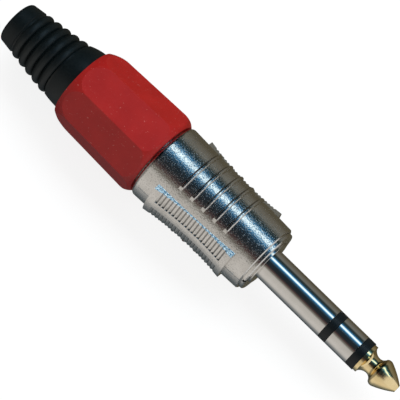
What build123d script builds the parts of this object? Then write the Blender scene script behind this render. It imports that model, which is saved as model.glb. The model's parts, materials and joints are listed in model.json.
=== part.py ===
from build123d import *
import os
from math import asin, cos, degrees, pi, radians, sin, tan

# All sizes are in millimetres. The plug's axis is +X, towards the tip, and +Z is up.
# The origin is on the axis, where the finger leaves the front boss.
# An angle round the axis is counted from +Z towards -Y, in degrees.

# Finger, a quarter-inch stereo contact
finger_d = 6.35
sleeve_length = 15.5
ring_band = 1.62
ring_length = 5.22
tip_band = 1.7

# Gold tip
tip_length = 8.19
tip_root_d = 6.0
tip_root_length = 0.69
tip_waist_d = 3.58
tip_waist_to_end = 5.94
tip_fall_r = 1.78
tip_rise_r = 1.2
tip_rise_angle = 72.0
tip_bulb_d = 5.8
tip_bulb_to_end = 4.15
tip_cone_length = 3.6
tip_cone_drop = 0.1
tip_cone_bulge = 0.145
tip_point_d = 1.5

# Coaxial rods, tubes and insulators inside the finger
rod_d = 2.1
tip_tube_wall = 0.43
shank_wall = 0.5
ring_tube_wall = 0.44
slip = 0.02
press_step = 0.25
neck_step = 0.17
seat_depth = 0.4
edge_break = 0.08

# Contact stack behind the finger
tag_thickness = 0.4
washer_thickness = 1.0
rim_length = 0.5
rim_spread = 0.45
washer_margin = 0.3
rod_head_d = 3.4
rod_head_length = 0.6
sleeve_tag_reach = 4.3
sleeve_tag_length = 14.0
sleeve_tag_width = 2.6
ring_tag_reach = 3.5
ring_tag_length = 8.0
ring_tag_width = 2.2
tip_tag_reach = 2.4
tip_tag_length = 4.6
tip_tag_width = 1.8
solder_hole_d = 1.2
solder_hole_margin = 1.3
tag_corner_r = 0.6
sleeve_tag_angle = 180.0
ring_tag_angle = 60.0
tip_tag_angle = -60.0

# Front bush that carries the finger in the shell
boss_height = 0.34
boss_gap = 0.05
flange_thickness = 2.0
hub_length = 1.7
hub_wall = 1.4
bush_gap = 0.05
key_width = 0.6
key_gap = 0.06
key_depth = 0.55

# Die-cast shell
shell_length = 26.35
shell_front_d = 14.4
shell_rear_d = 16.35
shell_front_chamfer = 0.2
shell_rear_round = 0.9
shell_bore_d = 12.2
nose_d = 13.3
nose_length = 0.8
nose_chamfer = 0.2
nose_hole_d = 9.7
nose_wall = 2.4
nose_groove = 0.14
spigot_d = 14.2
spigot_length = 7.5
spigot_chamfer = 0.4

# Raised ribs, in two panels on opposite sides of the shell
rib_count = 5
rib_pitch = 2.766
rib_width = 0.86
rib_height = 0.38
rib_front_gap = 7.65
rib_panel_arc = 97.0
rib_panel_angle = -22.5

# Saddle-shaped thumb pads, between the rib panels
pad_front_gap = 3.69
pad_length = 18.56
pad_width = 7.04
pad_root_depth = 0.5
pad_front_proud = 1.01
pad_rear_proud = 1.02
pad_middle_proud = 0.33
pad_land = 1.69
pad_seam_width = 1.6
pad_seam_shift = 0.2
groove_count = 21
groove_depth = 0.2
groove_land = 0.12
pad_angle = 67.5

# Octagonal bushing, screwed on the shell's spigot
bushing_length = 20.31
seam_gap = 0.15
bushing_corners = 18.1
bushing_flats = 16.72
bushing_taper = 1.45
bushing_sides = 8
bushing_front_round = 2.5
bushing_front_drop = 1.08
bushing_rear_round = 4.3
bushing_rear_drop = 1.22
thread_gap = 0.05
thread_runout = 0.4

# Collet chuck that grips the cable
chuck_grip = 5.2
chuck_length = 19.0
chuck_gap = 0.05
chuck_nose_d = 9.4
chuck_bore_d = 7.4
chuck_base_bore_d = 8.6
chuck_tooth_height = 0.35
chuck_tooth_start = 1.12
chuck_tooth_pitch = 1.6
chuck_tooth_count = 4
chuck_slots = 4
chuck_slot_width = 0.9
chuck_slot_length = 15.0
cone_gap = 0.12
cone_hole_d = 8.8
cone_end_gap = 0.25

# Insulating liner between the contacts and the shell
liner_gap = 0.05
liner_wall = 0.85

# Rubber boot, held in the bushing's rear by its flange
boot_visible = 17.32
boot_front_d = 13.4
boot_collar_d = 12.3
boot_collar_length = 3.7
boot_rear_d = 8.95
boot_end_round = 0.7
boot_gap = 0.06
boot_flange_length = 1.8
boot_flange_step = 0.33
boot_flange_to_end = 2.4
boot_axial_gap = 0.1
ridge_count = 5
ridge_pitch = 1.98
ridge_first_d = 12.3
ridge_last_d = 10.2
ridge_height = 0.6
ridge_valley = 0.28
cable_hole_d = 6.5
funnel_d = 8.4
funnel_length = 2.5

# Stations along the axis, from the tip back to the boot's end
ring_start = sleeve_length + ring_band
ring_end = ring_start + ring_length
tip_start = ring_end + tip_band
tip_end = tip_start + tip_length
nose_face = -boss_height
shell_front = nose_face - nose_length
shell_rear = shell_front - shell_length
spigot_rear = shell_rear - spigot_length
flange_front = nose_face - nose_wall
flange_rear = flange_front - flange_thickness
hub_rear = flange_rear - hub_length
sleeve_tag_rear = hub_rear - tag_thickness
sleeve_rim_rear = sleeve_tag_rear - rim_length
front_washer_rear = sleeve_rim_rear - washer_thickness
ring_tag_rear = front_washer_rear - tag_thickness
ring_rim_rear = ring_tag_rear - rim_length
rear_washer_rear = ring_rim_rear - washer_thickness
tip_tag_rear = rear_washer_rear - tag_thickness
rod_rear = tip_tag_rear - rod_head_length
chuck_front = shell_rear + chuck_grip
chuck_rear = chuck_front - chuck_length
bushing_front = shell_rear - seam_gap
bushing_rear = bushing_front - bushing_length
thread_rear = spigot_rear - thread_runout
flange_groove_rear = bushing_rear + boot_flange_to_end
flange_groove_front = flange_groove_rear + boot_flange_length + 2 * boot_axial_gap
boot_rear = bushing_rear - boot_visible

# Radii of the coaxial tubes, from the tip's rod outwards
rod_r = rod_d / 2
tip_tube_in = rod_r + slip
tip_tube_out = tip_tube_in + tip_tube_wall
shank_in = tip_tube_out + slip
shank_out = shank_in + shank_wall
ring_tube_in = shank_out + slip
ring_tube_out = ring_tube_in + ring_tube_wall
sleeve_in = ring_tube_out + slip
finger_r = finger_d / 2
press_r = finger_r - press_step
chuck_r = shell_bore_d / 2 - chuck_gap
boot_neck_r = boot_front_d / 2


def turned(*outline):
    """A solid turned about the plug's axis from an outline of (station, radius) points."""
    return revolve(make_face(Polyline(*outline, close=True)), Axis.X)


def tube(rear, front, outer, inner=0.0):
    """A plain turned ring between two stations."""
    return turned((rear, inner), (rear, outer), (front, outer), (front, inner))


def softened(part, station, radius, amount):
    """The part with one turned edge rounded: the one nearest to a station and radius."""
    circles = part.edges().filter_by(GeomType.CIRCLE)
    edge = circles.sort_by(lambda e: abs(e.center().X - station) + abs(e.radius - radius))[0]
    return fillet(edge, amount)


def shell_radius(station):
    """Outer radius of the tapered shell."""
    share = (shell_front - station) / shell_length
    return (shell_front_d + (shell_rear_d - shell_front_d) * share) / 2


def pad_rear():
    """Station of the pads' rear end."""
    return shell_front - pad_front_gap - pad_length


def pad_front():
    """Station of the pads' front end."""
    return shell_front - pad_front_gap


def saddle_radius(station):
    """Radius of the thumb pad's hollow between its two end lands."""
    rear = pad_rear()
    front = pad_front()
    share = (station - rear) / pad_length
    ends = pad_rear_proud + (pad_front_proud - pad_rear_proud) * share
    dip = (pad_rear_proud + pad_front_proud) / 2 - pad_middle_proud
    return shell_radius(station) + ends - 4 * dip * share * (1 - share)


def groove_stations():
    """Middles of the pad's grooves, evenly spaced between the two plain lands."""
    length = pad_length - 2 * pad_land
    pitch = length / (groove_count - 1)
    start = pad_rear() + pad_land
    return [start + pitch * i for i in range(groove_count)]


def saddle(grooved):
    """The pad's hollowed form all round the axis, with or without its fine V grooves."""
    rear = pad_rear()
    front = pad_front()
    middle = (rear + front) / 2
    floor = shell_front_d / 2 - pad_root_depth
    outer = [(rear, saddle_radius(rear))]
    if grooved:
        stations = groove_stations()
        half = (stations[1] - stations[0] - groove_land) / 2
        for station in stations:
            outer.append((station - half, saddle_radius(station - half)))
            outer.append((station, saddle_radius(station) - groove_depth))
            outer.append((station + half, saddle_radius(station + half)))
        outer.append((front, saddle_radius(front)))
        return turned((rear, floor), *outer, (front, floor))
    crest = ThreePointArc(
        (rear, saddle_radius(rear)), (middle, saddle_radius(middle)), (front, saddle_radius(front))
    )
    sides = Polyline(
        (front, saddle_radius(front)), (front, floor), (rear, floor), (rear, saddle_radius(rear))
    )
    return revolve(make_face(crest + sides), Axis.X)


def pad_block(width, shift=0.0):
    """A straight block that cuts one pad out of the saddle form, standing on the axis."""
    low = shell_front_d / 2 - 2 * pad_root_depth
    high = shell_rear_d / 2 + 2 * pad_rear_proud
    block = Box(pad_length, width, high - low, align=(Align.MIN, Align.CENTER, Align.MIN))
    return Pos(pad_rear(), shift, low) * block


def thumb_pad():
    """One saddle pad, ribbed by V grooves that stop at the seam along its middle."""
    ribbed = saddle(True) & pad_block(pad_width)
    seam = saddle(False) & pad_block(pad_seam_width, pad_seam_shift)
    return ribbed + seam


def shell_rib(station):
    """One round raised rib over a quarter of the shell, with flat ends."""
    half = rib_width / 2
    crest_r = (half**2 + rib_height**2) / (2 * rib_height)
    centre = shell_radius(station) + rib_height - crest_r
    wire = revolve(Pos(station, centre) * Circle(crest_r), Axis.X, rib_panel_arc)
    start = rib_panel_angle - rib_panel_arc / 2 + 90
    return Rot(start, 0, 0) * wire


def shell_ribs():
    """Both panels of ribs, half a turn apart."""
    first = shell_front - rib_front_gap
    ribs = [shell_rib(first - rib_pitch * i) for i in range(rib_count)]
    return ribs + [Rot(180, 0, 0) * rib for rib in ribs]


def make_shell():
    """Die-cast shell: tapered barrel, ribs, thumb pads, stepped nose and threaded spigot."""
    front_r = shell_front_d / 2
    rear_r = shell_rear_d / 2
    nose_r = nose_d / 2
    groove_r = nose_r - nose_groove
    spigot_r = spigot_d / 2
    barrel = turned(
        (spigot_rear, 0),
        (spigot_rear, spigot_r - spigot_chamfer),
        (spigot_rear + spigot_chamfer, spigot_r),
        (shell_rear, spigot_r),
        (shell_rear, rear_r),
        (shell_front - shell_front_chamfer, shell_radius(shell_front - shell_front_chamfer)),
        (shell_front, front_r - shell_front_chamfer),
        (shell_front, groove_r),
        (shell_front + nose_groove, groove_r),
        (shell_front + nose_groove, nose_r),
        (nose_face - nose_chamfer, nose_r),
        (nose_face, nose_r - nose_chamfer),
        (nose_face, 0),
    )
    barrel = softened(barrel, shell_rear, rear_r, shell_rear_round)
    pad = Rot(pad_angle, 0, 0) * thumb_pad()
    barrel = barrel + pad + Rot(180, 0, 0) * pad
    for rib in shell_ribs():
        barrel = barrel + rib
    barrel = barrel - tube(spigot_rear, flange_front, shell_bore_d / 2)
    barrel = barrel - tube(flange_front, nose_face, nose_hole_d / 2)
    return barrel - keyway(0.0, nose_wall)


def keyway(gap, depth):
    """The key's form at the nose: a radial bar, narrower by a gap at each side."""
    length = nose_d / 2
    bar = Box(depth, key_width - 2 * gap, length, align=(Align.MAX, Align.CENTER, Align.MIN))
    return Rot(pad_angle, 0, 0) * (Pos(nose_face, 0, 0) * bar)


def make_front_bush():
    """Plated bush: boss through the nose, flange behind it, hub and an anti-turn key."""
    boss_r = nose_hole_d / 2 - boss_gap
    flange_r = shell_bore_d / 2 - bush_gap
    hub_r = press_r + hub_wall
    body = turned(
        (hub_rear, 0),
        (hub_rear, hub_r),
        (flange_rear, hub_r),
        (flange_rear, flange_r),
        (flange_front, flange_r),
        (flange_front, boss_r),
        (-boss_gap, boss_r),
        (0, boss_r - boss_gap),
        (0, 0),
    )
    key = keyway(key_gap, nose_wall) & tube(flange_front, nose_face - key_depth, nose_d / 2 - key_gap)
    seat = tube(-seat_depth, 0, finger_r + slip)
    return body + key - tube(hub_rear, 0, press_r + slip) - seat


def make_sleeve_contact():
    """Finger sleeve: seated and pressed in the bush and spread behind the earth tag."""
    neck_r = finger_r - neck_step
    outer = turned(
        (sleeve_rim_rear, 0),
        (sleeve_rim_rear, press_r + rim_spread),
        (sleeve_tag_rear, press_r + rim_spread),
        (sleeve_tag_rear, press_r),
        (-seat_depth, press_r),
        (-seat_depth, neck_r),
        (0, neck_r),
        (0, finger_r),
        (sleeve_length - edge_break, finger_r),
        (sleeve_length, finger_r - edge_break),
        (sleeve_length, 0),
    )
    return outer - tube(sleeve_rim_rear, sleeve_length, sleeve_in)


def make_ring_insulator():
    """Black band between sleeve and ring, with its tube inside the sleeve."""
    body = tube(sleeve_length, ring_start, finger_r, ring_tube_in)
    return body + tube(sleeve_rim_rear, sleeve_length, ring_tube_out, ring_tube_in)


def make_ring_contact():
    """Ring contact with its shank, spread behind the ring's tag."""
    head = turned(
        (ring_start, shank_in),
        (ring_start, finger_r - edge_break),
        (ring_start + edge_break, finger_r),
        (ring_end - edge_break, finger_r),
        (ring_end, finger_r - edge_break),
        (ring_end, shank_in),
    )
    shank = tube(ring_rim_rear, ring_start, shank_out, shank_in)
    rim = tube(ring_rim_rear, ring_tag_rear, shank_out + rim_spread, shank_in)
    return head + shank + rim


def make_tip_insulator():
    """Black band between ring and tip, with its tube inside the ring's shank."""
    body = tube(ring_end, tip_start, finger_r, tip_tube_in)
    return body + tube(ring_rim_rear, ring_end, tip_tube_out, tip_tube_in)


def neck_point(radius, angle):
    """A point of the tip's neck, on an arc that starts at the waist; a minus radius goes back."""
    waist = tip_end - tip_waist_to_end
    rise = abs(radius) * (1 - cos(radians(angle)))
    return (waist + radius * sin(radians(angle)), tip_waist_d / 2 + rise)


def make_tip_contact():
    """Gold tip with its rod, whose end is peened over behind the tip's tag."""
    root_r = tip_root_d / 2
    bulb_r = tip_bulb_d / 2
    point_r = tip_point_d / 2
    root_end = tip_start + tip_root_length
    waist = tip_end - tip_waist_to_end
    bulb = tip_end - tip_bulb_to_end
    cone_top = tip_end - tip_cone_length
    cone_r = bulb_r - tip_cone_drop
    fall_angle = degrees(asin((waist - root_end) / tip_fall_r))
    shoulder = neck_point(-tip_fall_r, fall_angle)
    rise_end = neck_point(tip_rise_r, tip_rise_angle)
    root = Polyline(
        (rod_rear, 0),
        (rod_rear, rod_head_d / 2),
        (tip_tag_rear, rod_head_d / 2),
        (tip_tag_rear, rod_r),
        (tip_start, rod_r),
        (tip_start, root_r),
        (root_end, root_r),
        shoulder,
    )
    fall = ThreePointArc(shoulder, neck_point(-tip_fall_r, fall_angle / 2), neck_point(tip_fall_r, 0))
    rise = ThreePointArc(neck_point(tip_rise_r, 0), neck_point(tip_rise_r, tip_rise_angle / 2), rise_end)
    bulge = ThreePointArc(rise_end, (bulb, bulb_r), (cone_top, cone_r))
    cone_middle = ((cone_top + tip_end) / 2, (cone_r + point_r) / 2 + tip_cone_bulge)
    cone = ThreePointArc((cone_top, cone_r), cone_middle, (tip_end, point_r))
    end = Polyline((tip_end, point_r), (tip_end, 0), (rod_rear, 0))
    return revolve(make_face(root + fall + rise + bulge + cone + end), Axis.X)


def solder_tag(front, bore_r, disc_r, reach, length, width, angle):
    """A stamped tag: a disc on its contact, bent back into a solder tongue with a hole."""
    disc = tube(front - tag_thickness, front, disc_r, bore_r)
    tongue = Box(length, width, tag_thickness, align=(Align.MAX, Align.CENTER, Align.MAX))
    tongue = fillet(tongue.edges().filter_by(Axis.Z).group_by(Axis.X)[0], tag_corner_r)
    eye = Pos(-length + solder_hole_margin, 0, 0) * Cylinder(solder_hole_d / 2, width)
    tongue = Pos(front, 0, reach) * (tongue - eye)
    return disc + Rot(angle, 0, 0) * tongue


def make_sleeve_terminal():
    bore_r = press_r + slip
    return solder_tag(
        hub_rear, bore_r, sleeve_tag_reach, sleeve_tag_reach, sleeve_tag_length, sleeve_tag_width,
        sleeve_tag_angle,
    )


def make_ring_terminal():
    bore_r = shank_out + slip
    return solder_tag(
        front_washer_rear, bore_r, ring_tag_reach, ring_tag_reach, ring_tag_length, ring_tag_width,
        ring_tag_angle,
    )


def make_tip_terminal():
    bore_r = rod_r + slip
    return solder_tag(
        rear_washer_rear, bore_r, tip_tag_reach, tip_tag_reach, tip_tag_length, tip_tag_width,
        tip_tag_angle,
    )


def make_front_washer():
    """Insulating washer between the sleeve's rim and the ring's tag."""
    outer = sleeve_tag_reach - tag_thickness - washer_margin
    return tube(front_washer_rear, sleeve_rim_rear, outer, shank_out + slip)


def make_rear_washer():
    """Insulating washer between the ring's rim and the tip's tag."""
    outer = ring_tag_reach - tag_thickness - washer_margin
    return tube(rear_washer_rear, ring_rim_rear, outer, rod_r + slip)


def make_liner():
    """Insulating tube round the contacts, which the chuck presses against the bush."""
    outer = shell_bore_d / 2 - liner_gap
    return tube(chuck_front, flange_rear, outer, outer - liner_wall)


def chuck_tooth(index):
    """One gripping ridge inside the chuck's fingers."""
    station = chuck_rear + chuck_tooth_start + chuck_tooth_pitch * index
    bore_r = chuck_bore_d / 2
    half = chuck_tooth_height
    return turned(
        (station - half, bore_r + slip), (station, bore_r - chuck_tooth_height), (station + half, bore_r + slip)
    )


def make_chuck():
    """Collet: a base ring in the shell and slotted, tapered fingers that close on the cable."""
    base_bore_r = chuck_base_bore_d / 2
    bore_r = chuck_bore_d / 2
    shoulder = shell_rear
    body = turned(
        (chuck_rear, bore_r),
        (chuck_rear, chuck_nose_d / 2),
        (thread_rear, chuck_r),
        (chuck_front, chuck_r),
        (chuck_front, base_bore_r),
        (shoulder, base_bore_r),
        (shoulder - (base_bore_r - bore_r), bore_r),
    )
    for i in range(chuck_tooth_count):
        body = body + chuck_tooth(i)
    slot = Box(
        chuck_slot_length, chuck_slot_width, shell_bore_d, align=(Align.MIN, Align.CENTER, Align.MIN)
    )
    for i in range(chuck_slots):
        body = body - Rot(360 / chuck_slots * (i + 0.5), 0, 0) * (Pos(chuck_rear, 0, 0) * slot)
    return body


def bushing_form():
    """Outer form of the bushing: a tapered round with domed ends, cut to an octagon."""
    slope = tan(radians(bushing_taper))
    front_r = bushing_corners / 2
    fore = bushing_front - bushing_front_round
    aft = bushing_rear + bushing_rear_round
    fore_r = front_r - bushing_front_round * slope
    aft_r = front_r - (bushing_front - aft) * slope
    lip_r = fore_r - bushing_front_drop
    tail_r = aft_r - bushing_rear_drop
    nose = Polyline((bushing_front, 0), (bushing_front, lip_r))
    front_arc = TangentArc((fore, fore_r), (bushing_front, lip_r), tangent=(1, slope))
    side = Line((fore, fore_r), (aft, aft_r))
    rear_arc = TangentArc((aft, aft_r), (bushing_rear, tail_r), tangent=(-1, -slope))
    tail = Polyline((bushing_rear, tail_r), (bushing_rear, 0), (bushing_front, 0))
    domed = revolve(make_face(nose + front_arc + side + rear_arc + tail), Axis.X)
    octagon = RegularPolygon(
        bushing_flats / 2, bushing_sides, major_radius=False, rotation=180 / bushing_sides
    )
    plane = Plane(origin=(bushing_front, 0, 0), x_dir=(0, 1, 0), z_dir=(-1, 0, 0))
    prism = extrude(plane * octagon, amount=bushing_length, taper=bushing_taper)
    return domed & prism


def cone_radius(station):
    """Inner cone of the bushing, a running gap outside the chuck's fingers."""
    share = (thread_rear - station) / (thread_rear - chuck_rear)
    return chuck_r + (chuck_nose_d / 2 - chuck_r) * share + cone_gap


def make_bushing():
    """Red bushing: thread bore, closing cone for the chuck and a groove for the boot."""
    thread_r = spigot_d / 2 + thread_gap
    cone_end = chuck_rear - cone_end_gap
    neck_hole_r = boot_neck_r + boot_gap
    groove_r = boot_neck_r + boot_flange_step + boot_gap
    hollow = turned(
        (bushing_front, 0),
        (bushing_front, thread_r),
        (thread_rear, thread_r),
        (thread_rear, cone_radius(thread_rear)),
        (cone_end, cone_radius(cone_end)),
        (cone_end, cone_hole_d / 2),
        (flange_groove_front, cone_hole_d / 2),
        (flange_groove_front, groove_r),
        (flange_groove_rear, groove_r),
        (flange_groove_rear, neck_hole_r),
        (bushing_rear, neck_hole_r),
        (bushing_rear, 0),
    )
    return bushing_form() - hollow


def ridge_radius(index):
    """Crest radius of one of the boot's ridges, counted from the bushing."""
    return (ridge_first_d + (ridge_last_d - ridge_first_d) * index / (ridge_count - 1)) / 2


def boot_outline():
    """Upper outline of the boot: flange, neck, flared collar, ridges and end cap."""
    flange_front = flange_groove_front - boot_axial_gap
    flange_rear = flange_front - boot_flange_length
    collar_end = bushing_rear - boot_collar_length
    collar_r = boot_collar_d / 2
    first_valley = ridge_radius(0) - ridge_height
    line = Polyline(
        (flange_front, 0),
        (flange_front, boot_neck_r + boot_flange_step),
        (flange_rear, boot_neck_r + boot_flange_step),
        (flange_rear, boot_neck_r),
        (bushing_rear, boot_neck_r),
    )
    line = line + TangentArc((bushing_rear, boot_neck_r), (collar_end, collar_r), tangent=(-1, 0))
    line = line + Polyline((collar_end, collar_r), (collar_end - ridge_valley / 2, first_valley))
    valley = (collar_end - ridge_valley / 2, first_valley)
    crest_length = ridge_pitch - ridge_valley
    for i in range(ridge_count):
        crest = ridge_radius(i)
        start = (valley[0] - ridge_valley, crest - ridge_height)
        end = (start[0] - crest_length, crest - ridge_height)
        line = line + Line(valley, start)
        line = line + ThreePointArc(start, (start[0] - crest_length / 2, crest), end)
        valley = end
    cap_front = valley[0] - ridge_valley
    cap_r = boot_rear_d / 2
    shoulder_r = cap_r + (ridge_radius(ridge_count - 1) - cap_r) / 2
    line = line + Polyline(
        valley,
        (cap_front, valley[1]),
        (cap_front - ridge_valley, shoulder_r),
        (boot_rear + boot_end_round, cap_r),
    )
    line = line + ThreePointArc(
        (boot_rear + boot_end_round, cap_r),
        (boot_rear + boot_end_round * (1 - sin(pi / 4)), cap_r - boot_end_round * (1 - cos(pi / 4))),
        (boot_rear, cap_r - boot_end_round),
    )
    return line + Polyline((boot_rear, cap_r - boot_end_round), (boot_rear, 0), (flange_front, 0))


def make_boot():
    """Rubber strain-relief boot with a hole for the cable."""
    body = revolve(make_face(boot_outline()), Axis.X)
    front = flange_groove_front - boot_axial_gap
    hole_r = cable_hole_d / 2
    hole = turned(
        (boot_rear, 0),
        (boot_rear, hole_r),
        (front - funnel_length, hole_r),
        (front, funnel_d / 2),
        (front, 0),
    )
    return body - hole


pieces = {
    "shell": make_shell,
    "front_bush": make_front_bush,
    "sleeve_contact": make_sleeve_contact,
    "ring_insulator": make_ring_insulator,
    "ring_contact": make_ring_contact,
    "tip_insulator": make_tip_insulator,
    "tip_contact": make_tip_contact,
    "sleeve_terminal": make_sleeve_terminal,
    "front_washer": make_front_washer,
    "ring_terminal": make_ring_terminal,
    "rear_washer": make_rear_washer,
    "tip_terminal": make_tip_terminal,
    "liner": make_liner,
    "chuck": make_chuck,
    "bushing": make_bushing,
    "boot": make_boot,
}

os.makedirs("parts", exist_ok=True)
for name, make in pieces.items():
    export_step(make(), os.path.join("parts", name + ".step"))
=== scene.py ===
import json
from math import cos, degrees, pi, radians, sin, tan

import bmesh
import bpy
from mathutils import Matrix, Vector

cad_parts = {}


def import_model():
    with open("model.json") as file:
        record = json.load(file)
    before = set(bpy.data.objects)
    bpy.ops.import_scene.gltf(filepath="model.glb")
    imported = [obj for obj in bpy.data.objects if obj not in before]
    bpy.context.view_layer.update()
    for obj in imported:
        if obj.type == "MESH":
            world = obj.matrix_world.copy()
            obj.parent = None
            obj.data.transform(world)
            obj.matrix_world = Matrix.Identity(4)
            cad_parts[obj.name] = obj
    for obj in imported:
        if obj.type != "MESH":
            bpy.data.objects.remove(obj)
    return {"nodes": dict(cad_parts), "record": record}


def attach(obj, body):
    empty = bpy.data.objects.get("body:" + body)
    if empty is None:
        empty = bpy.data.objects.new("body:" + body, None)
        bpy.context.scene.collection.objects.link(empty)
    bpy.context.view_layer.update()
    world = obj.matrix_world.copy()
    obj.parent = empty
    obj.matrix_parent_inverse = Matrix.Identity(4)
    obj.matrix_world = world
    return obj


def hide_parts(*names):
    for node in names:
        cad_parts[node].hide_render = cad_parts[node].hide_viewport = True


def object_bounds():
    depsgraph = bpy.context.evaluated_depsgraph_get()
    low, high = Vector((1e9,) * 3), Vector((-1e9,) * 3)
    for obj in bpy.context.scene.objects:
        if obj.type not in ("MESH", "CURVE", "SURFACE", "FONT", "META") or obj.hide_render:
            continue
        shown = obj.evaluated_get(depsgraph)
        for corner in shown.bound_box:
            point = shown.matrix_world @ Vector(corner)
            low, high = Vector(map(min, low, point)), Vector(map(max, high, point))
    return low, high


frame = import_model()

# Lengths are in metres unless a name says otherwise, in the frame of the part.
# An angle round the plug's axis is counted from +Z towards -Y, in degrees.
MM = 0.001
cad_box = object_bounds()
nodes = frame["nodes"]

# Camera, as fitted to the ovals of the bushing, the bands and the nose
FRAME_PIXELS = 400
FOCAL_PIXELS = 2104.0
CAMERA_DISTANCE = 0.3839
CAMERA_TILT = radians(8.5)
CAMERA_ROLL = radians(44.3)
CAMERA_ANGLE = 14.0
TARGET_X = -17.43 * MM
AXIS_OFF_CENTRE = Vector((0.56, 2.57))
SENSOR_WIDTH = 36.0

# Sizes of the solids that the fine trim sits on, in millimetres and degrees
SHELL_FRONT = -1.14
SHELL_REAR = -27.49
SHELL_FRONT_R = 7.2
SHELL_REAR_R = 8.175
SPIGOT_REAR = -34.99
PAD_FRONT = -4.83
PAD_REAR = -23.39
PAD_ANGLE = 67.5
PAD_WIDTH = 7.04
PAD_FRONT_PROUD = 1.01
PAD_REAR_PROUD = 1.02
PAD_MIDDLE_PROUD = 0.33
PAD_LAND = 1.69
GROOVE_COUNT = 21
GROOVE_DEPTH = 0.2
GROOVE_LAND = 0.12
RIB_COUNT = 5
RIB_PITCH = 2.766
RIB_FRONT_GAP = 7.65
RIB_HEIGHT = 0.38

# The casting's parting line, in millimetres
PARTING_WIDTH = 0.14
PARTING_HEIGHT = 0.045
PARTING_SINK = 0.05
PARTING_STEPS = 6
PARTING_REAR_GAP = 1.2
PARTING_FRONT_GAP = 0.25

# The slope on the pads' long walls and the flats that end the ribs, in millimetres and degrees
DRAFT_ANGLE = 11.0
DRAFT_SINK = 0.02
DRAFT_EDGE_SINK = 0.004
DRAFT_DEPTH = 0.2
RIB_END = 26.0
RIB_BLOCK_WIDTH = 0.88
RIB_BLOCK_LENGTH = 0.72
RIB_BLOCK_TILT = 12.0
RIB_BLOCK_SINK = 0.05
RIB_BLOCK_TRIM = 0.05

# Screw threads, in millimetres: root and crest radii, and how far each ridge stops short of the ends
THREAD_PITCH = 1.0
THREAD_STEPS = 48
THREAD_FADE_STEPS = 10
THREAD_FOOT = 0.36
THREAD_CREST_SHARE = 0.2
SPIGOT_THREAD_ROOT = 7.08
SPIGOT_THREAD_CREST = 7.38
SPIGOT_THREAD_GAPS = (0.7, 0.8)
BUSHING_THREAD_ROOT = 7.17
BUSHING_THREAD_CREST = 6.87
BUSHING_THREAD_GAPS = (0.4, 0.9)

# The sideways sag of the soft boot, in millimetres and degrees
BOOT_LEAN = 0.42
BOOT_LEAN_ANGLE = 104.0
BOOT_LEAN_FROM = -48.3
BOOT_LEAN_TO = -54.0

# Lamp, surround and floor
KEY_ANGLE = -33.0
KEY_DISTANCE = 0.57
KEY_WIDTH = 0.3
KEY_LENGTH = 1.1
KEY_RADIANCE = 2.62
KEY_COLOUR = (0.9, 0.96, 1.0)
AMBIENT = 0.39
FLOOR_SIZE = 3.0
FLOOR_SHADE = 0.27
FLOOR_GLOW = 0.84

# The cove that only reflections see: closed and dim behind the boot, more so over the plug than
# beside it, and open in front of the tip
COVE_RADIUS = 0.6
COVE_REAR = -0.82
COVE_FRONT = 0.72
COVE_STEPS = 96
COVE_DIM_ABOVE = 0.07
COVE_DIM_BESIDE = 0.42
COVE_DIM_TURN_FROM = 15.0
COVE_DIM_TURN_TO = 55.0
COVE_DIM_FROM = -0.22
COVE_DIM_TO = -0.34

# What the metal mirrors round the axis, as an angle and a colour: from the floor's left side over
# the narrow soft box and the dark gap above to the broad warm board and the floor's right side
COVE = [
    (-90.0, (0.19, 0.18, 0.15)),
    (-76.0, (0.22, 0.225, 0.205)),
    (-69.0, (0.15, 0.16, 0.145)),
    (-62.0, (0.03, 0.045, 0.045)),
    (-49.0, (0.025, 0.06, 0.08)),
    (-41.0, (0.03, 0.2, 0.46)),
    (-37.0, (0.25, 0.68, 1.05)),
    (-33.5, (1.45, 1.75, 1.9)),
    (-26.0, (1.45, 1.75, 1.9)),
    (-22.5, (0.25, 0.68, 1.05)),
    (-18.0, (0.03, 0.2, 0.46)),
    (-11.0, (0.035, 0.09, 0.15)),
    (0.0, (0.02, 0.03, 0.04)),
    (21.0, (0.025, 0.03, 0.035)),
    (30.0, (0.1, 0.06, 0.06)),
    (41.0, (0.25, 0.24, 0.21)),
    (51.0, (0.62, 0.605, 0.575)),
    (62.0, (0.68, 0.655, 0.62)),
    (100.0, (0.76, 0.735, 0.705)),
    (114.0, (0.68, 0.66, 0.63)),
    (127.0, (0.38, 0.39, 0.39)),
    (146.0, (0.18, 0.2, 0.215)),
    (164.0, (0.08, 0.1, 0.11)),
    (200.0, (0.1, 0.09, 0.06)),
    (240.0, (0.12, 0.105, 0.07)),
    (270.0, (0.19, 0.18, 0.15)),
]


def around(angle):
    """Unit vector square to the axis, at an angle round it."""
    turn = radians(angle)
    return Vector((0.0, -sin(turn), cos(turn)))


# Materials


def new_material(name):
    material = bpy.data.materials.new(name)
    material.use_nodes = True
    tree = material.node_tree
    shader = tree.nodes["Principled BSDF"]
    return material, tree, shader


def noise_field(tree, scale, detail=2.0, stretch=None):
    """Noise on the object's own metres, with a scale in cells a metre."""
    place = tree.nodes.new("ShaderNodeTexCoord")
    field = tree.nodes.new("ShaderNodeTexNoise")
    field.inputs["Scale"].default_value = scale
    field.inputs["Detail"].default_value = detail
    source = place.outputs["Object"]
    if stretch:
        mapping = tree.nodes.new("ShaderNodeMapping")
        mapping.inputs["Scale"].default_value = stretch
        tree.links.new(source, mapping.inputs["Vector"])
        source = mapping.outputs["Vector"]
    tree.links.new(source, field.inputs["Vector"])
    return field.outputs["Fac"]


def mapped(tree, value, low, high, from_low=0.3, from_high=0.7):
    """A field's value mapped to a range, clamped."""
    node = tree.nodes.new("ShaderNodeMapRange")
    node.inputs["From Min"].default_value = from_low
    node.inputs["From Max"].default_value = from_high
    node.inputs["To Min"].default_value = low
    node.inputs["To Max"].default_value = high
    tree.links.new(value, node.inputs["Value"])
    return node.outputs["Result"]


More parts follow.
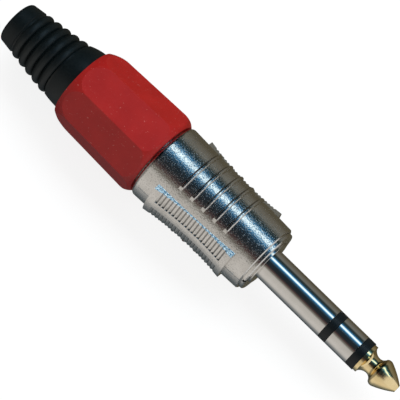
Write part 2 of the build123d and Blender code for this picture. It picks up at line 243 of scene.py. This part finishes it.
def mixed_colour(tree, factor, first, second):
    node = tree.nodes.new("ShaderNodeMix")
    node.data_type = "RGBA"
    node.inputs["A"].default_value = (*first, 1.0)
    node.inputs["B"].default_value = (*second, 1.0)
    tree.links.new(factor, node.inputs["Factor"])
    return node.outputs["Result"]


def speckled(tree, factor, under, dot):
    """A colour with dots of another over it."""
    node = tree.nodes.new("ShaderNodeMix")
    node.data_type = "RGBA"
    tree.links.new(under, node.inputs["A"])
    node.inputs["B"].default_value = (*dot, 1.0)
    tree.links.new(factor, node.inputs["Factor"])
    return node.outputs["Result"]


def bumped(tree, shader, height, strength, depth):
    """Adds a bump of a depth in metres, after any bump that is there."""
    node = tree.nodes.new("ShaderNodeBump")
    node.inputs["Strength"].default_value = strength
    node.inputs["Distance"].default_value = depth
    tree.links.new(height, node.inputs["Height"])
    for link in tree.links:
        if link.to_socket == shader.inputs["Normal"]:
            tree.links.new(link.from_socket, node.inputs["Normal"])
            break
    tree.links.new(node.outputs["Normal"], shader.inputs["Normal"])


def satin_nickel():
    """Satin nickel on a fine-grained die casting, with tiny dull pits between bright grains."""
    material, tree, shader = new_material("satin_nickel")
    shader.inputs["Metallic"].default_value = 1.0
    waves = noise_field(tree, 1900.0, 2.0)
    specks = noise_field(tree, 4100.0, 1.0)
    cloud = noise_field(tree, 420.0, 2.0)
    colour = mixed_colour(tree, mapped(tree, cloud, 0.0, 1.0), (0.61, 0.59, 0.56), (0.68, 0.66, 0.63))
    pits = mapped(tree, specks, 0.0, 0.16, 0.5, 0.66)
    tree.links.new(speckled(tree, pits, colour, (0.45, 0.44, 0.42)), shader.inputs["Base Color"])
    tree.links.new(mapped(tree, specks, 0.11, 0.45, 0.5, 0.68), shader.inputs["Roughness"])
    bumped(tree, shader, waves, 0.6, 0.008 * MM)
    bumped(tree, shader, specks, 1.0, 0.022 * MM)
    return material


def polished_nickel():
    """Bright nickel on turned brass, with faint turning lines round the axis."""
    material, tree, shader = new_material("polished_nickel")
    shader.inputs["Metallic"].default_value = 1.0
    lines = noise_field(tree, 1.0, 3.0, (9000.0, 90.0, 90.0))
    cloud = noise_field(tree, 700.0, 2.0)
    colour = mixed_colour(tree, mapped(tree, cloud, 0.0, 1.0), (0.64, 0.62, 0.59), (0.68, 0.66, 0.63))
    tree.links.new(colour, shader.inputs["Base Color"])
    tree.links.new(mapped(tree, cloud, 0.07, 0.11), shader.inputs["Roughness"])
    bumped(tree, shader, lines, 0.3, 0.002 * MM)
    return material


def gold_plate():
    """Polished gold plate with fine turning lines."""
    material, tree, shader = new_material("gold_plate")
    shader.inputs["Metallic"].default_value = 1.0
    lines = noise_field(tree, 1.0, 3.0, (7000.0, 80.0, 80.0))
    cloud = noise_field(tree, 600.0, 2.0)
    colour = mixed_colour(tree, mapped(tree, cloud, 0.0, 1.0), (0.84, 0.66, 0.34), (0.92, 0.74, 0.42))
    tree.links.new(colour, shader.inputs["Base Color"])
    tree.links.new(mapped(tree, lines, 0.1, 0.18), shader.inputs["Roughness"])
    bumped(tree, shader, lines, 0.35, 0.003 * MM)
    return material


def moulding(name, colour, second, roughness, grain_scale, depth):
    """A moulded plastic with fine grain in its colour, gloss and surface."""
    material, tree, shader = new_material(name)
    grain = noise_field(tree, grain_scale, 3.0)
    shade = mixed_colour(tree, mapped(tree, grain, 0.0, 1.0), colour, second)
    tree.links.new(shade, shader.inputs["Base Color"])
    tree.links.new(mapped(tree, grain, roughness * 0.88, roughness * 1.12), shader.inputs["Roughness"])
    bumped(tree, shader, grain, 0.4, depth)
    return material


def tinned_tag():
    """Tinned brass sheet, slightly dull."""
    material, tree, shader = new_material("tinned_tag")
    shader.inputs["Metallic"].default_value = 1.0
    cloud = noise_field(tree, 900.0, 3.0)
    colour = mixed_colour(tree, mapped(tree, cloud, 0.0, 1.0), (0.55, 0.54, 0.52), (0.68, 0.67, 0.64))
    tree.links.new(colour, shader.inputs["Base Color"])
    tree.links.new(mapped(tree, cloud, 0.25, 0.4), shader.inputs["Roughness"])
    bumped(tree, shader, cloud, 0.4, 0.01 * MM)
    return material


def bushing_red():
    """Red moulding with a satin gloss and a fine grain, with small pale dots painted into its colour as
    glints.
    """
    material, tree, shader = new_material("bushing_red")
    grain = noise_field(tree, 5200.0, 3.0)
    flow = noise_field(tree, 260.0, 2.0)
    glint_noise = noise_field(tree, 3000.0, 1.0)
    colour = mixed_colour(tree, mapped(tree, flow, 0.0, 1.0), (0.45, 0.008, 0.006), (0.52, 0.012, 0.009))
    # Painted glints: sparse pale pink dots mixed into the base colour, standing in for small highlights.
    dots = mapped(tree, glint_noise, 0.0, 0.35, 0.7, 0.78)
    tree.links.new(speckled(tree, dots, colour, (0.85, 0.4, 0.35)), shader.inputs["Base Color"])
    tree.links.new(mapped(tree, grain, 0.36, 0.48), shader.inputs["Roughness"])
    bumped(tree, shader, grain, 0.8, 0.02 * MM)
    return material


def dulled(material, level):
    """The same material with less mirror light off its surface."""
    shader = material.node_tree.nodes["Principled BSDF"]
    shader.inputs["Specular IOR Level"].default_value = level
    return material


def boot_rubber():
    """Black rubber with a cool, faint sheen and a matt moulded grain."""
    rubber = moulding("boot_rubber", (0.0035, 0.007, 0.008), (0.006, 0.01, 0.011), 0.44, 2600.0, 0.012 * MM)
    return dulled(rubber, 0.34)


def band_black():
    """Matt black moulding of the two bands on the finger."""
    plastic = moulding("band_black", (0.004, 0.007, 0.009), (0.008, 0.012, 0.014), 0.4, 3500.0, 0.006 * MM)
    return dulled(plastic, 0.3)


def washer_plastic():
    """Black moulding of the washers between the solder tags."""
    return moulding("washer_plastic", (0.014, 0.014, 0.015), (0.03, 0.03, 0.032), 0.5, 2500.0, 0.01 * MM)


def liner_plastic():
    """Natural moulding of the insulating tube."""
    return moulding("liner_plastic", (0.5, 0.5, 0.46), (0.58, 0.58, 0.54), 0.45, 1500.0, 0.01 * MM)


def chuck_plastic():
    """White moulding of the cable's collet."""
    return moulding("chuck_plastic", (0.7, 0.7, 0.67), (0.78, 0.78, 0.75), 0.4, 1800.0, 0.01 * MM)


slots = {
    "satin_nickel": satin_nickel(),
    "polished_nickel": polished_nickel(),
    "gold_plate": gold_plate(),
    "tinned_tag": tinned_tag(),
    "bushing_red": bushing_red(),
    "boot_rubber": boot_rubber(),
    "band_black": band_black(),
    "washer_plastic": washer_plastic(),
    "liner_plastic": liner_plastic(),
    "chuck_plastic": chuck_plastic(),
}
for part in frame["record"]["subparts"]:
    piece = nodes[part["node"]]
    for slot in piece.material_slots:
        slot.material = slots[part["material_slot"]]


# Fine trim that the solids leave out, and the soft boot's sag


def shell_radius(station):
    """Outer radius of the tapered shell at a station along the axis, both in millimetres."""
    share = (SHELL_FRONT - station) / (SHELL_FRONT - SHELL_REAR)
    return SHELL_FRONT_R + (SHELL_REAR_R - SHELL_FRONT_R) * share


def new_piece(name, points, faces, body, slot):
    """A mesh of the part in one of its finishes, riding on a body."""
    mesh = bpy.data.meshes.new(name)
    mesh.from_pydata(points, [], faces)
    mesh.validate()
    form = bmesh.new()
    form.from_mesh(mesh)
    bmesh.ops.recalc_face_normals(form, faces=form.faces)
    form.to_mesh(mesh)
    form.free()
    piece = bpy.data.objects.new(name, mesh)
    bpy.context.collection.objects.link(piece)
    mesh.materials.append(slots[slot])
    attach(piece, body)
    return piece


def on_round(station, radius, angle):
    """A point in metres from a station and a radius in millimetres and an angle round the axis."""
    return around(angle) * (radius * MM) + Vector((station * MM, 0.0, 0.0))


def parting_line():
    """The low line where the casting die closed, ahead of each pad and behind it."""
    points, faces = [], []
    behind = (SHELL_REAR + PARTING_REAR_GAP, PAD_REAR)
    ahead = (PAD_FRONT, SHELL_FRONT - PARTING_FRONT_GAP)
    for side in (0.0, 180.0):
        for rear, front in (behind, ahead):
            base = len(points)
            for i in range(PARTING_STEPS + 1):
                station = rear + (front - rear) * i / PARTING_STEPS
                radius = shell_radius(station)
                spread = degrees(PARTING_WIDTH / 2 / radius)
                angle = PAD_ANGLE + side
                points.append(on_round(station, radius - PARTING_SINK, angle - spread))
                points.append(on_round(station, radius + PARTING_HEIGHT, angle - spread / 3))
                points.append(on_round(station, radius + PARTING_HEIGHT, angle + spread / 3))
                points.append(on_round(station, radius - PARTING_SINK, angle + spread))
            for i in range(PARTING_STEPS):
                a = base + 4 * i
                for k in range(4):
                    n = (k + 1) % 4
                    faces.append((a + k, a + n, a + 4 + n, a + 4 + k))
            faces.append((base, base + 3, base + 2, base + 1))
            end = base + 4 * PARTING_STEPS
            faces.append((end, end + 1, end + 2, end + 3))
    return new_piece("parting_line", points, faces, "plug", "satin_nickel")


def saddle_radius(station):
    """Radius of the thumb pad's hollow between its end lands, in millimetres."""
    share = (station - PAD_REAR) / (PAD_FRONT - PAD_REAR)
    ends = PAD_REAR_PROUD + (PAD_FRONT_PROUD - PAD_REAR_PROUD) * share
    dip = (PAD_REAR_PROUD + PAD_FRONT_PROUD) / 2 - PAD_MIDDLE_PROUD
    return shell_radius(station) + ends - 4 * dip * share * (1 - share)


def pad_profile():
    """Stations and radii along the pad's top edge, down into each V groove and up again."""
    first = PAD_REAR + PAD_LAND
    pitch = (PAD_FRONT - PAD_REAR - 2 * PAD_LAND) / (GROOVE_COUNT - 1)
    half = (pitch - GROOVE_LAND) / 2
    profile = [(PAD_REAR, saddle_radius(PAD_REAR))]
    for i in range(GROOVE_COUNT):
        middle = first + pitch * i
        profile.append((middle - half, saddle_radius(middle - half)))
        profile.append((middle, saddle_radius(middle) - GROOVE_DEPTH))
        profile.append((middle + half, saddle_radius(middle + half)))
    profile.append((PAD_FRONT, saddle_radius(PAD_FRONT)))
    return profile


def beside_pad(station, across, high, angle):
    """A point in metres from a pad's own upright frame in millimetres."""
    sideways = around(angle - 90.0) * (across * MM)
    return sideways + around(angle) * (high * MM) + Vector((station * MM, 0.0, 0.0))


def pad_drafts():
    """The slope that lets each pad's long walls leave the casting die."""
    points, faces = [], []
    half = PAD_WIDTH / 2
    for angle in (PAD_ANGLE, PAD_ANGLE + 180.0):
        for hand in (1, -1):
            base = len(points)
            profile = pad_profile()
            for station, radius in profile:
                ground = shell_radius(station) - DRAFT_SINK
                top = (radius**2 - half**2) ** 0.5
                foot = (ground**2 - half**2) ** 0.5
                spread = half + (top - foot) * tan(radians(DRAFT_ANGLE))
                foot = (ground**2 - spread**2) ** 0.5
                points.append(beside_pad(station, hand * half, top - DRAFT_EDGE_SINK, angle))
                points.append(beside_pad(station, hand * spread, foot, angle))
                points.append(beside_pad(station, hand * (half - DRAFT_DEPTH), foot, angle))
            for i in range(len(profile) - 1):
                a = base + 3 * i
                for k in range(3):
                    n = (k + 1) % 3
                    quad = (a + k, a + n, a + 3 + n, a + 3 + k)
                    faces.append(quad if hand > 0 else quad[::-1])
            end = base + 3 * (len(profile) - 1)
            faces.append((base, base + 2, base + 1) if hand > 0 else (base, base + 1, base + 2))
            faces.append((end, end + 1, end + 2) if hand > 0 else (end, end + 2, end + 1))
    return new_piece("pad_drafts", points, faces, "plug", "satin_nickel")


def rib_blocks():
    """The small flat that ends each rib beside its thumb pad."""
    points, faces = [], []
    wide = RIB_BLOCK_WIDTH / 2
    rise = RIB_BLOCK_LENGTH * tan(radians(RIB_BLOCK_TILT))
    for side in (0.0, 180.0):
        for i in range(RIB_COUNT):
            station = SHELL_FRONT - RIB_FRONT_GAP - RIB_PITCH * i
            radius = shell_radius(station)
            base = len(points)
            inner = RIB_END + side - degrees(RIB_BLOCK_LENGTH / radius)
            low = radius - RIB_BLOCK_SINK
            high = radius + RIB_HEIGHT
            for trim, start, finish in ((0.0, low, low), (RIB_BLOCK_TRIM, high, high + rise)):
                outer = RIB_END + side - degrees(trim / radius)
                points.append(on_round(station - wide + trim, start, outer))
                points.append(on_round(station + wide - trim, start, outer))
                points.append(on_round(station + wide - trim, finish, inner))
                points.append(on_round(station - wide + trim, finish, inner))
            faces.append((base, base + 1, base + 2, base + 3))
            faces.append((base + 7, base + 6, base + 5, base + 4))
            for k in range(4):
                n = (k + 1) % 4
                faces.append((base + k, base + 4 + k, base + 4 + n, base + n))
    return new_piece("rib_blocks", points, faces, "plug", "satin_nickel")


def thread_ridge(name, gaps, root, crest, body, slot):
    """A right-hand screw ridge along the spigot, between a root and a crest radius."""
    rear = SPIGOT_REAR + gaps[0]
    front = SHELL_REAR - gaps[1]
    points, faces = [], []
    turns = (front - rear) / THREAD_PITCH
    steps = int(turns * THREAD_STEPS)
    half = THREAD_PITCH * THREAD_FOOT
    crest_half = half * THREAD_CREST_SHARE
    for i in range(steps + 1):
        angle = 360.0 * i / THREAD_STEPS
        station = rear + THREAD_PITCH * i / THREAD_STEPS
        fade = min(1.0, i / THREAD_FADE_STEPS, (steps - i) / THREAD_FADE_STEPS)
        tip = root + (crest - root) * max(fade, 0.05)
        points.append(on_round(station - half, root, angle))
        points.append(on_round(station - crest_half, tip, angle))
        points.append(on_round(station + crest_half, tip, angle))
        points.append(on_round(station + half, root, angle))
    for i in range(steps):
        a = 4 * i
        for k in range(4):
            n = (k + 1) % 4
            faces.append((a + k, a + 4 + k, a + 4 + n, a + n))
    faces.append((0, 1, 2, 3))
    end = 4 * steps
    faces.append((end + 3, end + 2, end + 1, end))
    return new_piece(name, points, faces, body, slot)


def bent_boot():
    """The rubber boot as it lies in the photograph: its ribbed length sags a little to one side."""
    mesh = nodes["boot"].data.copy()
    lean = around(BOOT_LEAN_ANGLE) * (BOOT_LEAN * MM)
    for point in mesh.vertices:
        share = (BOOT_LEAN_FROM - point.co.x / MM) / (BOOT_LEAN_FROM - BOOT_LEAN_TO)
        share = min(1.0, max(0.0, share))
        point.co += lean * (share * share * (3.0 - 2.0 * share))
    piece = bpy.data.objects.new("rubber_boot", mesh)
    bpy.context.collection.objects.link(piece)
    mesh.materials.clear()
    mesh.materials.append(slots["boot_rubber"])
    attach(piece, "boot")
    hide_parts("boot")


bent_boot()
parting_line()
pad_drafts()
rib_blocks()
thread_ridge(
    "spigot_thread", SPIGOT_THREAD_GAPS, SPIGOT_THREAD_ROOT, SPIGOT_THREAD_CREST, "plug", "satin_nickel"
)
thread_ridge(
    "bushing_thread", BUSHING_THREAD_GAPS, BUSHING_THREAD_ROOT, BUSHING_THREAD_CREST, "bushing", "bushing_red"
)


# Studio: floor, lamp, world and the cove that the metal reflects


def cove_glow():
    """Light of the cove: its colour changes with the angle round the axis, and it is dim behind the boot."""
    material = bpy.data.materials.new("cove")
    material.use_nodes = True
    tree = material.node_tree
    tree.nodes.clear()
    place = tree.nodes.new("ShaderNodeTexCoord")
    apart = tree.nodes.new("ShaderNodeSeparateXYZ")
    tree.links.new(place.outputs["Object"], apart.inputs["Vector"])
    opposite = tree.nodes.new("ShaderNodeVectorMath")
    opposite.operation = "SCALE"
    opposite.inputs["Scale"].default_value = -1.0
    tree.links.new(place.outputs["Object"], opposite.inputs[0])
    parts = tree.nodes.new("ShaderNodeSeparateXYZ")
    tree.links.new(opposite.outputs["Vector"], parts.inputs["Vector"])
    angle = tree.nodes.new("ShaderNodeMath")
    angle.operation = "ARCTAN2"
    tree.links.new(parts.outputs["Z"], angle.inputs[0])
    tree.links.new(parts.outputs["Y"], angle.inputs[1])
    share = mapped(tree, angle.outputs[0], 0.0, 1.0, -pi, pi)
    ramp = tree.nodes.new("ShaderNodeValToRGB")
    ramp.color_ramp.interpolation = "EASE"
    first, last = COVE[0], COVE[-1]
    whole = last[0] - first[0]
    stops = ramp.color_ramp.elements
    stops[0].position = 0.0
    stops[0].color = (*first[1], 1.0)
    stops[1].position = 1.0
    stops[1].color = (*last[1], 1.0)
    for turn, colour in COVE[1:-1]:
        stop = stops.new((turn - first[0]) / whole)
        stop.color = (*colour, 1.0)
    tree.links.new(share, ramp.inputs["Fac"])
    glow = tree.nodes.new("ShaderNodeEmission")
    tree.links.new(ramp.outputs["Color"], glow.inputs["Color"])
    turn_from = radians(COVE_DIM_TURN_FROM - 90.0)
    turn_to = radians(COVE_DIM_TURN_TO - 90.0)
    dim = mapped(tree, angle.outputs[0], COVE_DIM_ABOVE, COVE_DIM_BESIDE, turn_from, turn_to)
    level = mapped(tree, apart.outputs["X"], 0.0, 1.0, COVE_DIM_TO, COVE_DIM_FROM)
    tree.links.new(dim, level.node.inputs["To Min"])
    tree.links.new(level, glow.inputs["Strength"])
    out = tree.nodes.new("ShaderNodeOutputMaterial")
    tree.links.new(glow.outputs["Emission"], out.inputs["Surface"])
    return material


def cove():
    """A curved studio cove round the plug, closed behind the boot, which is seen only in reflections."""
    points = []
    for i in range(COVE_STEPS):
        out = around(360.0 * i / COVE_STEPS) * COVE_RADIUS
        for end in (COVE_REAR, COVE_FRONT):
            points.append(out + Vector((end, 0, 0)))
    faces = []
    for i in range(COVE_STEPS):
        after = (i + 1) % COVE_STEPS
        faces.append((2 * i, 2 * i + 1, 2 * after + 1, 2 * after))
    faces.append([2 * i for i in range(COVE_STEPS)])
    mesh = bpy.data.meshes.new("cove")
    mesh.from_pydata(points, [], faces)
    card = bpy.data.objects.new("cove", mesh)
    bpy.context.collection.objects.link(card)
    mesh.materials.append(cove_glow())
    card.visible_camera = False
    card.visible_diffuse = False
    card.visible_shadow = False
    card.visible_transmission = False
    card.visible_volume_scatter = False


def floor():
    """A plain white floor that shows the plug's soft shadow."""
    half = FLOOR_SIZE / 2
    level = cad_box[0][2]
    mesh = bpy.data.meshes.new("floor")
    corners = [(-half, -half, level), (half, -half, level), (half, half, level), (-half, half, level)]
    mesh.from_pydata(corners, [], [(0, 1, 2, 3)])
    plane = bpy.data.objects.new("floor", mesh)
    bpy.context.collection.objects.link(plane)
    material, tree, shader = new_material("floor")
    shader.inputs["Base Color"].default_value = (FLOOR_SHADE, FLOOR_SHADE, FLOOR_SHADE, 1.0)
    shader.inputs["Roughness"].default_value = 0.9
    shader.inputs["Specular IOR Level"].default_value = 0.0
    shader.inputs["Emission Color"].default_value = (1.0, 1.0, 1.0, 1.0)
    path = tree.nodes.new("ShaderNodeLightPath")
    glow = mapped(tree, path.outputs["Is Camera Ray"], 0.0, FLOOR_GLOW, 0.0, 1.0)
    tree.links.new(glow, shader.inputs["Emission Strength"])
    mesh.materials.append(material)
    plane.visible_glossy = False


def world():
    """A white surround for the camera, reflections and see-through rays, and a plain level for the rest."""
    surround = bpy.data.worlds.new("surround")
    bpy.context.scene.world = surround
    surround.use_nodes = True
    tree = surround.node_tree
    tree.nodes.clear()
    path = tree.nodes.new("ShaderNodeLightPath")
    seen = tree.nodes.new("ShaderNodeMath")
    seen.operation = "MAXIMUM"
    tree.links.new(path.outputs["Is Camera Ray"], seen.inputs[0])
    tree.links.new(path.outputs["Is Glossy Ray"], seen.inputs[1])
    also = tree.nodes.new("ShaderNodeMath")
    also.operation = "MAXIMUM"
    tree.links.new(seen.outputs[0], also.inputs[0])
    tree.links.new(path.outputs["Is Transmission Ray"], also.inputs[1])
    light = tree.nodes.new("ShaderNodeBackground")
    tree.links.new(mapped(tree, also.outputs[0], AMBIENT, 1.0, 0.0, 1.0), light.inputs["Strength"])
    out = tree.nodes.new("ShaderNodeOutputWorld")
    tree.links.new(light.outputs["Background"], out.inputs["Surface"])


def key_lamp():
    """One long soft lamp, up and to the left of the plug."""
    data = bpy.data.lights.new("key", "AREA")
    data.shape = "RECTANGLE"
    data.size = KEY_LENGTH
    data.size_y = KEY_WIDTH
    data.energy = KEY_RADIANCE * pi * KEY_LENGTH * KEY_WIDTH
    data.color = KEY_COLOUR
    lamp = bpy.data.objects.new("key", data)
    bpy.context.collection.objects.link(lamp)
    lamp.visible_glossy = False
    out = around(KEY_ANGLE)
    along = Vector((1.0, 0.0, 0.0))
    across = out.cross(along)
    turn = Matrix((along, across, out)).transposed().to_4x4()
    turn.translation = Vector((TARGET_X, 0, 0)) + out * KEY_DISTANCE
    lamp.matrix_world = turn


def camera():
    """The camera of the photograph: nearly above the plug, with the tip tilted towards it."""
    axis = Vector((1.0, 0.0, 0.0))
    facing = around(CAMERA_ANGLE)
    side = around(CAMERA_ANGLE + 90)
    towards = sin(CAMERA_TILT) * axis + cos(CAMERA_TILT) * facing
    along = cos(CAMERA_TILT) * axis - sin(CAMERA_TILT) * facing
    right = cos(CAMERA_ROLL) * along - sin(CAMERA_ROLL) * side
    up = -sin(CAMERA_ROLL) * along - cos(CAMERA_ROLL) * side
    metres_a_pixel = CAMERA_DISTANCE / FOCAL_PIXELS
    place = Vector((TARGET_X, 0, 0)) + towards * CAMERA_DISTANCE
    place -= (right * AXIS_OFF_CENTRE.x + up * AXIS_OFF_CENTRE.y) * metres_a_pixel
    data = bpy.data.cameras.new("camera")
    data.sensor_width = SENSOR_WIDTH
    data.lens = SENSOR_WIDTH * FOCAL_PIXELS / FRAME_PIXELS
    data.clip_start = 0.01
    data.clip_end = 20.0
    view = bpy.data.objects.new("camera", data)
    bpy.context.collection.objects.link(view)
    turn = Matrix((right, up, towards)).transposed().to_4x4()
    turn.translation = place
    view.matrix_world = turn
    bpy.context.scene.camera = view


floor()
world()
key_lamp()
cove()
camera()
bpy.context.scene.view_settings.view_transform = "Standard"
